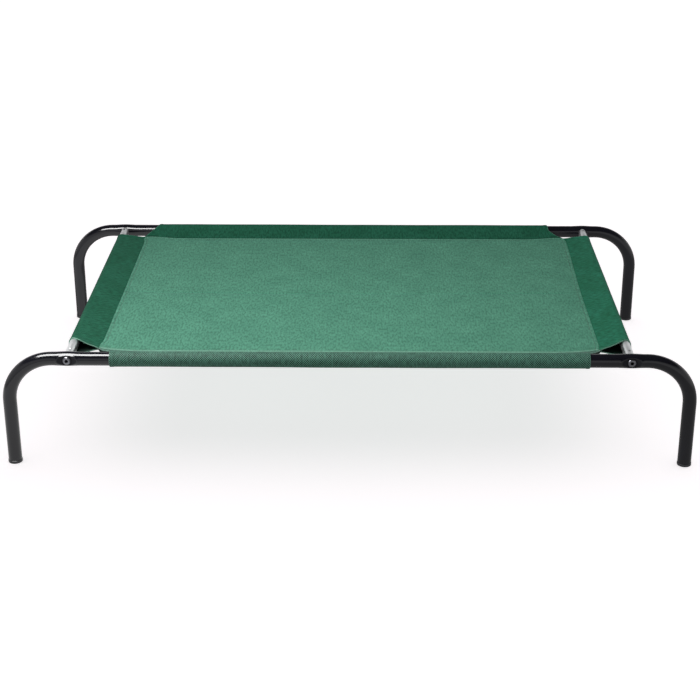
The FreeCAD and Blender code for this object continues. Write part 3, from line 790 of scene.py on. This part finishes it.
def sleeve_cloth(sleeve, seed):
    """A flat strip of cloth, wrapped round its tube."""
    shares = sleeve_shares(sleeve.half_length)
    wraps = [sleeve.wrap(share) for share in shares]
    bm = bmesh.new()
    bmesh.ops.create_grid(bm, x_segments=len(shares) - 1, y_segments=SLEEVE_ROWS, size=0.5)
    cloth_map = bm.loops.layers.uv.new(CLOTH_MAP)
    weights = bm.verts.layers.deform.verify()
    mark = bm.verts.layers.float.new(EDGE_HIGHLIGHT_MARK)
    groove = bm.verts.layers.float.new(SEAM_SHADE_MARK)
    flat = {}
    hem = 1 - (HEM_WIDTH + 0.3 * MM) / sleeve.half_length
    edge = 1 - CUT_EDGE_WIDTH / sleeve.half_length
    for vert in bm.verts:
        column = round((vert.co.x + 0.5) * (len(shares) - 1))
        share, wrap = shares[column], wraps[column]
        distance = (vert.co.y + 0.5) * wrap.girth
        vert[weights][0] = 1.0 if abs(share) > hem else 0.0
        # Painted highlight along the sleeve's folded ends.
        vert[mark] = CUT_EDGE_HIGHLIGHT if abs(share) > edge else 0.0
        # Painted shade beside the two long seams.
        vert[groove] = GROOVE_PAINTED_SHADE if sleeve.way and distance < GROOVE_WIDTH else 0.0
        vert.co = sleeve.point(wrap, share, distance, seed)
        flat[vert] = (vert.co.x, distance)
    for face in bm.faces:
        for corner in face.loops:
            corner[cloth_map].uv = flat[corner.vert]
    bmesh.ops.transform(bm, matrix=sleeve.place, verts=bm.verts)
    for vert in bm.verts:
        vert.co = pulled_in(vert.co)
    # The grid faces the tube; the cloth's face is its outside.
    bmesh.ops.reverse_faces(bm, faces=bm.faces)
    return bm


HEM_LAYERS = 1.9


def add_hemmed_wall(piece):
    """Cloth thickness, nearly doubled where the end is folded and pressed into a hem."""
    piece.vertex_groups.new(name="hem")
    wall = add_wall(piece, HEM_LAYERS * SHEET_T, offset=0.0)
    wall.vertex_group = "hem"
    wall.thickness_vertex_group = 1 / HEM_LAYERS
    wall.use_even_offset = False
    return wall


def sleeve_place(x, y, turned):
    return Matrix.Translation((x, y, RAIL_Z)) @ Matrix.Rotation(math.radians(turned), 4, "Z")


RAIL_HANG, CROSS_HANG = 0.2 * MM, 1.0 * MM
END_SLACK = 1.5 * MM
LOWER_REACH = 20 * MM
SLEEVES = {
    "front": Sleeve(
        "front_side_frame",
        RAIL_R,
        RAIL_HANG,
        SEAM_X,
        sleeve_place(0, -RAIL_Y, 0),
        way=-1,
        trim=(-3 * MM, -1 * MM),
    ),
    "rear": Sleeve(
        "rear_side_frame",
        RAIL_R,
        RAIL_HANG,
        SEAM_X,
        sleeve_place(0, RAIL_Y, 180),
        way=1,
        trim=(-4 * MM, -3 * MM),
        notch=(9 * MM, 1 * MM),
    ),
    "left": Sleeve(
        "left_cross_tube",
        CROSS_R,
        CROSS_HANG,
        SEAM_Y,
        sleeve_place(-CROSS_X, 0, -90),
        side=-1,
        trim=(13 * MM, 0),
    ),
    "right": Sleeve(
        "right_cross_tube",
        CROSS_R,
        CROSS_HANG,
        SEAM_Y,
        sleeve_place(CROSS_X, 0, 90),
        side=1,
        trim=(0, 13 * MM),
    ),
}


def make_sleeves(cloths, inside_shade):
    for seed, (word, sleeve) in enumerate(SLEEVES.items(), start=1):
        bm = sleeve_cloth(sleeve, seed)
        area = sum(face.calc_area() for face in bm.faces)
        piece = make_piece(f"{word}_wrapped_sleeve", bm, cloths[word], "sleeve_cloth", f"{word}_sleeve")
        # The inside of the cloth takes a nearly black colour as painted shade.
        piece.data.materials.append(inside_shade)
        add_hemmed_wall(piece).material_offset = 1
        girth = max(sleeve.wrap(step / 20).girth for step in range(-20, 21))


SAG = 3 * MM
CREASE_DEPTH = 1.1 * MM
CREASE_WIDTH = 2.5 * MM
LONG_FOLD_Y, SHORT_FOLD_X = -20 * MM, -4 * MM


def crease(distance):
    """The shallow valley that the cover's packing fold left in the cloth."""
    return -CREASE_DEPTH * math.exp(-((distance / CREASE_WIDTH) ** 2))


RIDGE_HEIGHT = 0.8 * MM
RIDGE_WIDTH = 4 * MM
RIDGE_SLOPE = 0.5 * MM
# The folded welt along the long seams is painted paler as a highlight, most at the front, where it faces the
# light.
WELT_HIGHLIGHT, REAR_WELT_HIGHLIGHT = 0.35, 0.1


def seam_ridge(x, y):
    """The turned edge of the panel stands up in a narrow ridge along its seams."""
    inside = min(SEAM_X - abs(x), SEAM_Y - abs(y))
    rise = smoothstep(0.0, 0.8 * MM, inside)
    fall = smoothstep(RIDGE_WIDTH - RIDGE_SLOPE, RIDGE_WIDTH + RIDGE_SLOPE, inside)
    return RIDGE_HEIGHT * rise * (1 - fall)


def panel_height(x, y):
    """Slight sag of the stretched panel, and the marks of its packing folds."""
    across, along = 1 - (x / SEAM_X) ** 2, 1 - (y / SEAM_Y) ** 2
    sag = -SAG * across * along
    folds = crease(y - LONG_FOLD_Y) + 0.6 * crease(x - SHORT_FOLD_X)
    return RAIL_Z + sag + folds * min(1.0, 6 * across * along) + seam_ridge(x, y)


PANEL_COLUMNS, PANEL_ROWS = 90, 70
EDGE_BAND, EDGE_STEP, EDGE_ROWS = 5 * MM, 0.5 * MM, 10


def panel_rows(half, count):
    """Row places from -half to half, closer together at the folds and along the seams."""
    rows = []
    for step in range(2 * count + 1):
        share = step / count - 1
        rows.append((half - EDGE_BAND) * (0.35 * share + 0.65 * share**3))
    edge = [half - step * EDGE_STEP for step in reversed(range(EDGE_ROWS))]
    return [-place for place in reversed(edge)] + rows + edge


def sling_panel():
    columns, rows = panel_rows(SEAM_X, PANEL_COLUMNS), panel_rows(SEAM_Y, PANEL_ROWS)
    bm = bmesh.new()
    bmesh.ops.create_grid(bm, x_segments=len(columns) - 1, y_segments=len(rows) - 1, size=0.5)
    cloth_map = bm.loops.layers.uv.new(CLOTH_MAP)
    mark = bm.verts.layers.float.new(EDGE_HIGHLIGHT_MARK)
    for vert in bm.verts:
        x = columns[round((vert.co.x + 0.5) * (len(columns) - 1))]
        y = rows[round((vert.co.y + 0.5) * (len(rows) - 1))]
        height = panel_height(x, y)
        # The welt's painted highlight, stronger at the front.
        welt = WELT_HIGHLIGHT if y < 0 else REAR_WELT_HIGHLIGHT
        vert[mark] = welt if SEAM_Y - abs(y) < RIDGE_WIDTH else 0.0
        across = 1 - seam_shift(math.copysign(1, x), y) / SEAM_X
        along = 1 - rail_seam_shift(math.copysign(1, y), x) / SEAM_Y
        vert.co = pulled_in(Vector((x * across, y * along, height)))
    for face in bm.faces:
        for corner in face.loops:
            corner[cloth_map].uv = corner.vert.co.xy
    return bm


def make_panel(cloth):
    piece = make_piece("sling_mesh_panel", sling_panel(), cloth, "panel_cloth", "sling_panel")
    add_wall(piece, SHEET_T, offset=0.0)


# ---- stitches -------------------------------------------------------------------------

STITCH_LENGTH = 2.8 * MM
STITCH_PITCH = 4 * MM
STITCH_HALF_WIDTH, STITCH_HALF_HEIGHT = 0.5 * MM, 0.35 * MM
SEAM_STITCH_INSET = RIDGE_WIDTH + 1.5 * MM
HEM_STITCH_INSET = HEM_WIDTH - 1.2 * MM


def add_stitch(bm, place, along, out):
    """One visible length of thread, half sunk in the cloth."""
    along, out = along.normalized(), out.normalized()
    across = out.cross(along)
    axes = Matrix((along, across, out)).transposed().to_4x4()
    size = Matrix.Diagonal((STITCH_LENGTH / 2, STITCH_HALF_WIDTH, STITCH_HALF_HEIGHT, 1))
    matrix = Matrix.Translation(place + out * SHEET_T * 0.6) @ axes @ size
    bmesh.ops.create_icosphere(bm, subdivisions=1, radius=1.0, matrix=matrix)


def seam_stitches():
    """The line beside each seam that holds the sleeve's lower layer to the panel: along the
    two rails, and then along the two cross tubes."""
    bm = bmesh.new()
    for half, other, swap in ((SEAM_X, SEAM_Y, False), (SEAM_Y, SEAM_X, True)):
        count = round((2 * half - 12 * MM) / STITCH_PITCH)
        for side in (-1, 1):
            for number in range(count):
                along = (number + 0.5 - count / 2) * STITCH_PITCH
                shift = seam_shift(side, along) if swap else rail_seam_shift(side, along)
                far = side * (other - SEAM_STITCH_INSET - shift)
                x, y = (far, along) if swap else (along, far)
                way = Vector((0, 1, 0)) if swap else Vector((1, 0, 0))
                place = Vector((x, y, RAIL_Z))
                add_stitch(bm, pulled_in(place), way, Vector((0, 0, 1)))
    return bm


def hem_stitches():
    """The line across each end of each sleeve."""
    bm = bmesh.new()
    for seed, sleeve in enumerate(SLEEVES.values(), start=1):
        share = 1 - HEM_STITCH_INSET / sleeve.half_length
        for side in (-share, share):
            wrap = sleeve.wrap(side)
            length = wrap.girth - SEAM_ALLOWANCE
            count = round(length / STITCH_PITCH)
            for number in range(count):
                distance = (number + 0.5) * length / count
                here = pulled_in(sleeve.place @ sleeve.point(wrap, side, distance, seed))
                ahead = pulled_in(sleeve.place @ sleeve.point(wrap, side, distance + MM, seed))
                beside = pulled_in(sleeve.place @ sleeve.point(wrap, side * 0.999, distance, seed))
                out = (ahead - here).cross(beside - here) * math.copysign(1, -side)
                add_stitch(bm, here, ahead - here, out)
    return bm


def make_stitches(thread):
    make_piece("seam_stitching", seam_stitches(), thread, "sleeve_cloth")
    make_piece("hem_stitching", hem_stitches(), thread, "sleeve_cloth")


# ---- floor and light ------------------------------------------------------------------

FLOOR_HALF = 20.0


def make_stage():
    """A white floor that glows, so that it looks as evenly lit as studio paper. It throws no
    light on the bed and doesn't show in its gloss."""
    bm = bmesh.new()
    bmesh.ops.create_grid(bm, x_segments=1, y_segments=1, size=FLOOR_HALF)
    mesh = bpy.data.meshes.new("floor")
    bm.to_mesh(mesh)
    bm.free()
    floor = bpy.data.objects.new("floor", mesh)
    bpy.context.scene.collection.objects.link(floor)
    material, _, shader = new_material("white_floor")
    set_inputs(shader, Base_Color=linear("ECE4E8"), Roughness=1.0, Specular_IOR_Level=0.0)
    set_inputs(shader, Emission_Color=linear("FFFDFE"), Emission_Strength=0.67)
    mesh.materials.append(material)
    floor.visible_diffuse = False
    floor.visible_glossy = False
    return floor


def place_light(name, data, place, target):
    light = bpy.data.objects.new(name, data)
    facing = (Vector(target) - Vector(place)).to_track_quat("-Z", "Y")
    light.matrix_world = Matrix.Translation(place) @ facing.to_matrix().to_4x4()
    bpy.context.scene.collection.objects.link(light)
    return light


def soft_box(name, place, target, size, power):
    """A rectangular light at a place, facing a target. size is (width, height)."""
    data = bpy.data.lights.new(name, "AREA")
    data.shape = "RECTANGLE"
    data.size, data.size_y = size
    data.energy = power
    return place_light(name, data, place, target)


def leave_out(light, thing):
    """Keeps the light of one lamp off one thing."""
    shaded = bpy.data.collections.new(f"{light.name}_leaves_out")
    shaded.objects.link(thing)
    light.light_linking.receiver_collection = shaded
    shaded.collection_objects[0].light_linking.link_state = "EXCLUDE"


def make_lights(floor):
    """Even light from a white ceiling and a wide soft box over the left front, which shades
    the cloth from there to its right rear. A box over the left end and a card on the floor
    only draw the highlights on the tubes."""
    world = bpy.data.worlds.new("studio")
    world.use_nodes = True
    tree = world.node_tree
    way = add(tree, "SeparateXYZ", {"Vector": add(tree, "TexCoord").outputs["Generated"]})
    height = add(tree, "MapRange", {"Value": way.outputs["Z"], "From Min": -1.0, "From Max": 1.0})
    # Pale walls and a dark place overhead give the gloss on the tubes its contrast.
    stops = [(0.0, "B4B4B4"), (0.45, "B4B4B4"), (0.5, "F0F0F0"), (0.68, "E0E0E0"), (0.78, "383838")]
    walls = add(tree, "ValToRGB", {"Fac": height.outputs["Result"]}, stops)
    tree.links.new(walls.outputs["Color"], tree.nodes["Background"].inputs["Color"])
    bpy.context.scene.world = world
    ceiling = bpy.data.lights.new("ceiling", "SUN")
    ceiling.energy = 0.97
    ceiling.angle = math.radians(90)
    place_light("ceiling", ceiling, (0, 0.4, 3), (0, 0, 0)).visible_glossy = False
    key = soft_box("key", (-0.5, -0.38, 0.9), (-0.5, -0.38, 0), (1.6, 0.5), 8.8)
    key.visible_glossy = False
    leave_out(key, floor)
    strip = soft_box("strip", (-0.75, -0.41, 1.135), (-0.75, -0.41, 0), (0.7, 0.5), 30)
    card = soft_box("card", (-0.8, -0.4, 0.002), (-0.8, -0.4, 1), (1.0, 1.4), 3.3)
    strip.visible_diffuse = card.visible_diffuse = False
    key.visible_camera = strip.visible_camera = card.visible_camera = False
    bpy.context.scene.view_settings.view_transform = "Standard"


# ---- the whole bed --------------------------------------------------------------------


def main():
    make_camera()
    coat = powder_coat()
    zinc = zinc_plate()
    make_side_frames(coat)
    make_cross_tubes(zinc)
    make_fasteners(black_oxide(), cap_plastic())
    steel = turned_steel()
    for corner in CORNERS:
        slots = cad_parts[f"{corner}_insert"].material_slots
        slots[0].material = steel
    make_panel(woven_mesh("panel_mesh_cloth", "32604D", "4C8972", "57977E", 0.7, gloss=0.12))
    # Two layers look deeper than the single panel. The sleeves are copies of one cloth with light and
    # shade painted in: the front one is painted lighter and greyer as sheen and shows its weave most,
    # the rear and left ones are painted darker as shade, and the right one is painted paler as light.
    front_sheen_cloth = woven_mesh(
        "front_sleeve_cloth_painted_sheen", "04140E", "4F806E", "5A917C", 1.0, slubs=0.2, pitch=FRONT_PITCH, slope=0.38
    )
    shaded_cloth = woven_mesh("sleeve_cloth_painted_shade", "123B2C", "1C5740", "26654E", 0.7, gloss=0.05)
    lit_cloth = woven_mesh("sleeve_cloth_painted_light", "164834", "22694D", "2D795F", 0.7, gloss=0.05)
    cloths = {"front": front_sheen_cloth, "rear": shaded_cloth, "left": shaded_cloth, "right": lit_cloth}
    make_sleeves(cloths, sleeve_inside_shade())
    make_stitches(sewing_thread())
    make_lights(make_stage())


main()
